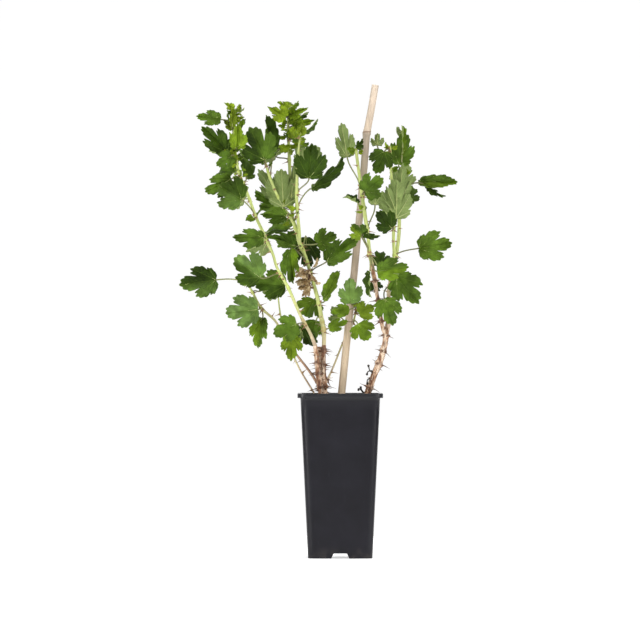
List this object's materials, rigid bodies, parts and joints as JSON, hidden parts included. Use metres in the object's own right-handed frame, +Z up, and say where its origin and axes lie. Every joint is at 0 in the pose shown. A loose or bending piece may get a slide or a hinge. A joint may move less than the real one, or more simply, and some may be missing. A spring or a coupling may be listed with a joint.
{
  "type": "potted red currant bush",
  "caption": "Young spiny-stemmed currant bush with lobed green leaves in a deep square black nursery pot, with a straight bamboo cane standing in the soil.",
  "frame": {"origin": "on the ground, under the middle of the whole outline; the pot's own middle is 26 mm towards +X", "axes": "+Z up, +X to the right and +Y away from the viewer of the front view, which is the pictured side"},
  "size_m": [0.3579, 0.1498, 0.6107],
  "materials": {
    "pot": "moulded black plastic, satin",
    "soil": "moist dark growing mix of bark and peat",
    "bamboo": "smooth dry natural cane",
    "bark": "rough peeling bark with spines",
    "leafy_green": "satin green leaves and stems",
    "dead_leaf": "dry matt brown"
  },
  "bodies": {
    "root": {"pot": "pot", "soil": "soil", "bamboo_cane": "bamboo", "left_crown_wood": "bark", "right_crown_wood": "bark", "outer_left_shoot": "leafy_green", "main_shoot": "leafy_green", "low_left_shoot": "leafy_green", "thin_left_shoot": "leafy_green", "thin_middle_shoot": "leafy_green", "front_right_shoot": "leafy_green", "back_right_shoot": "leafy_green", "dried_spur": "dead_leaf"}
  },
  "joints": []
}
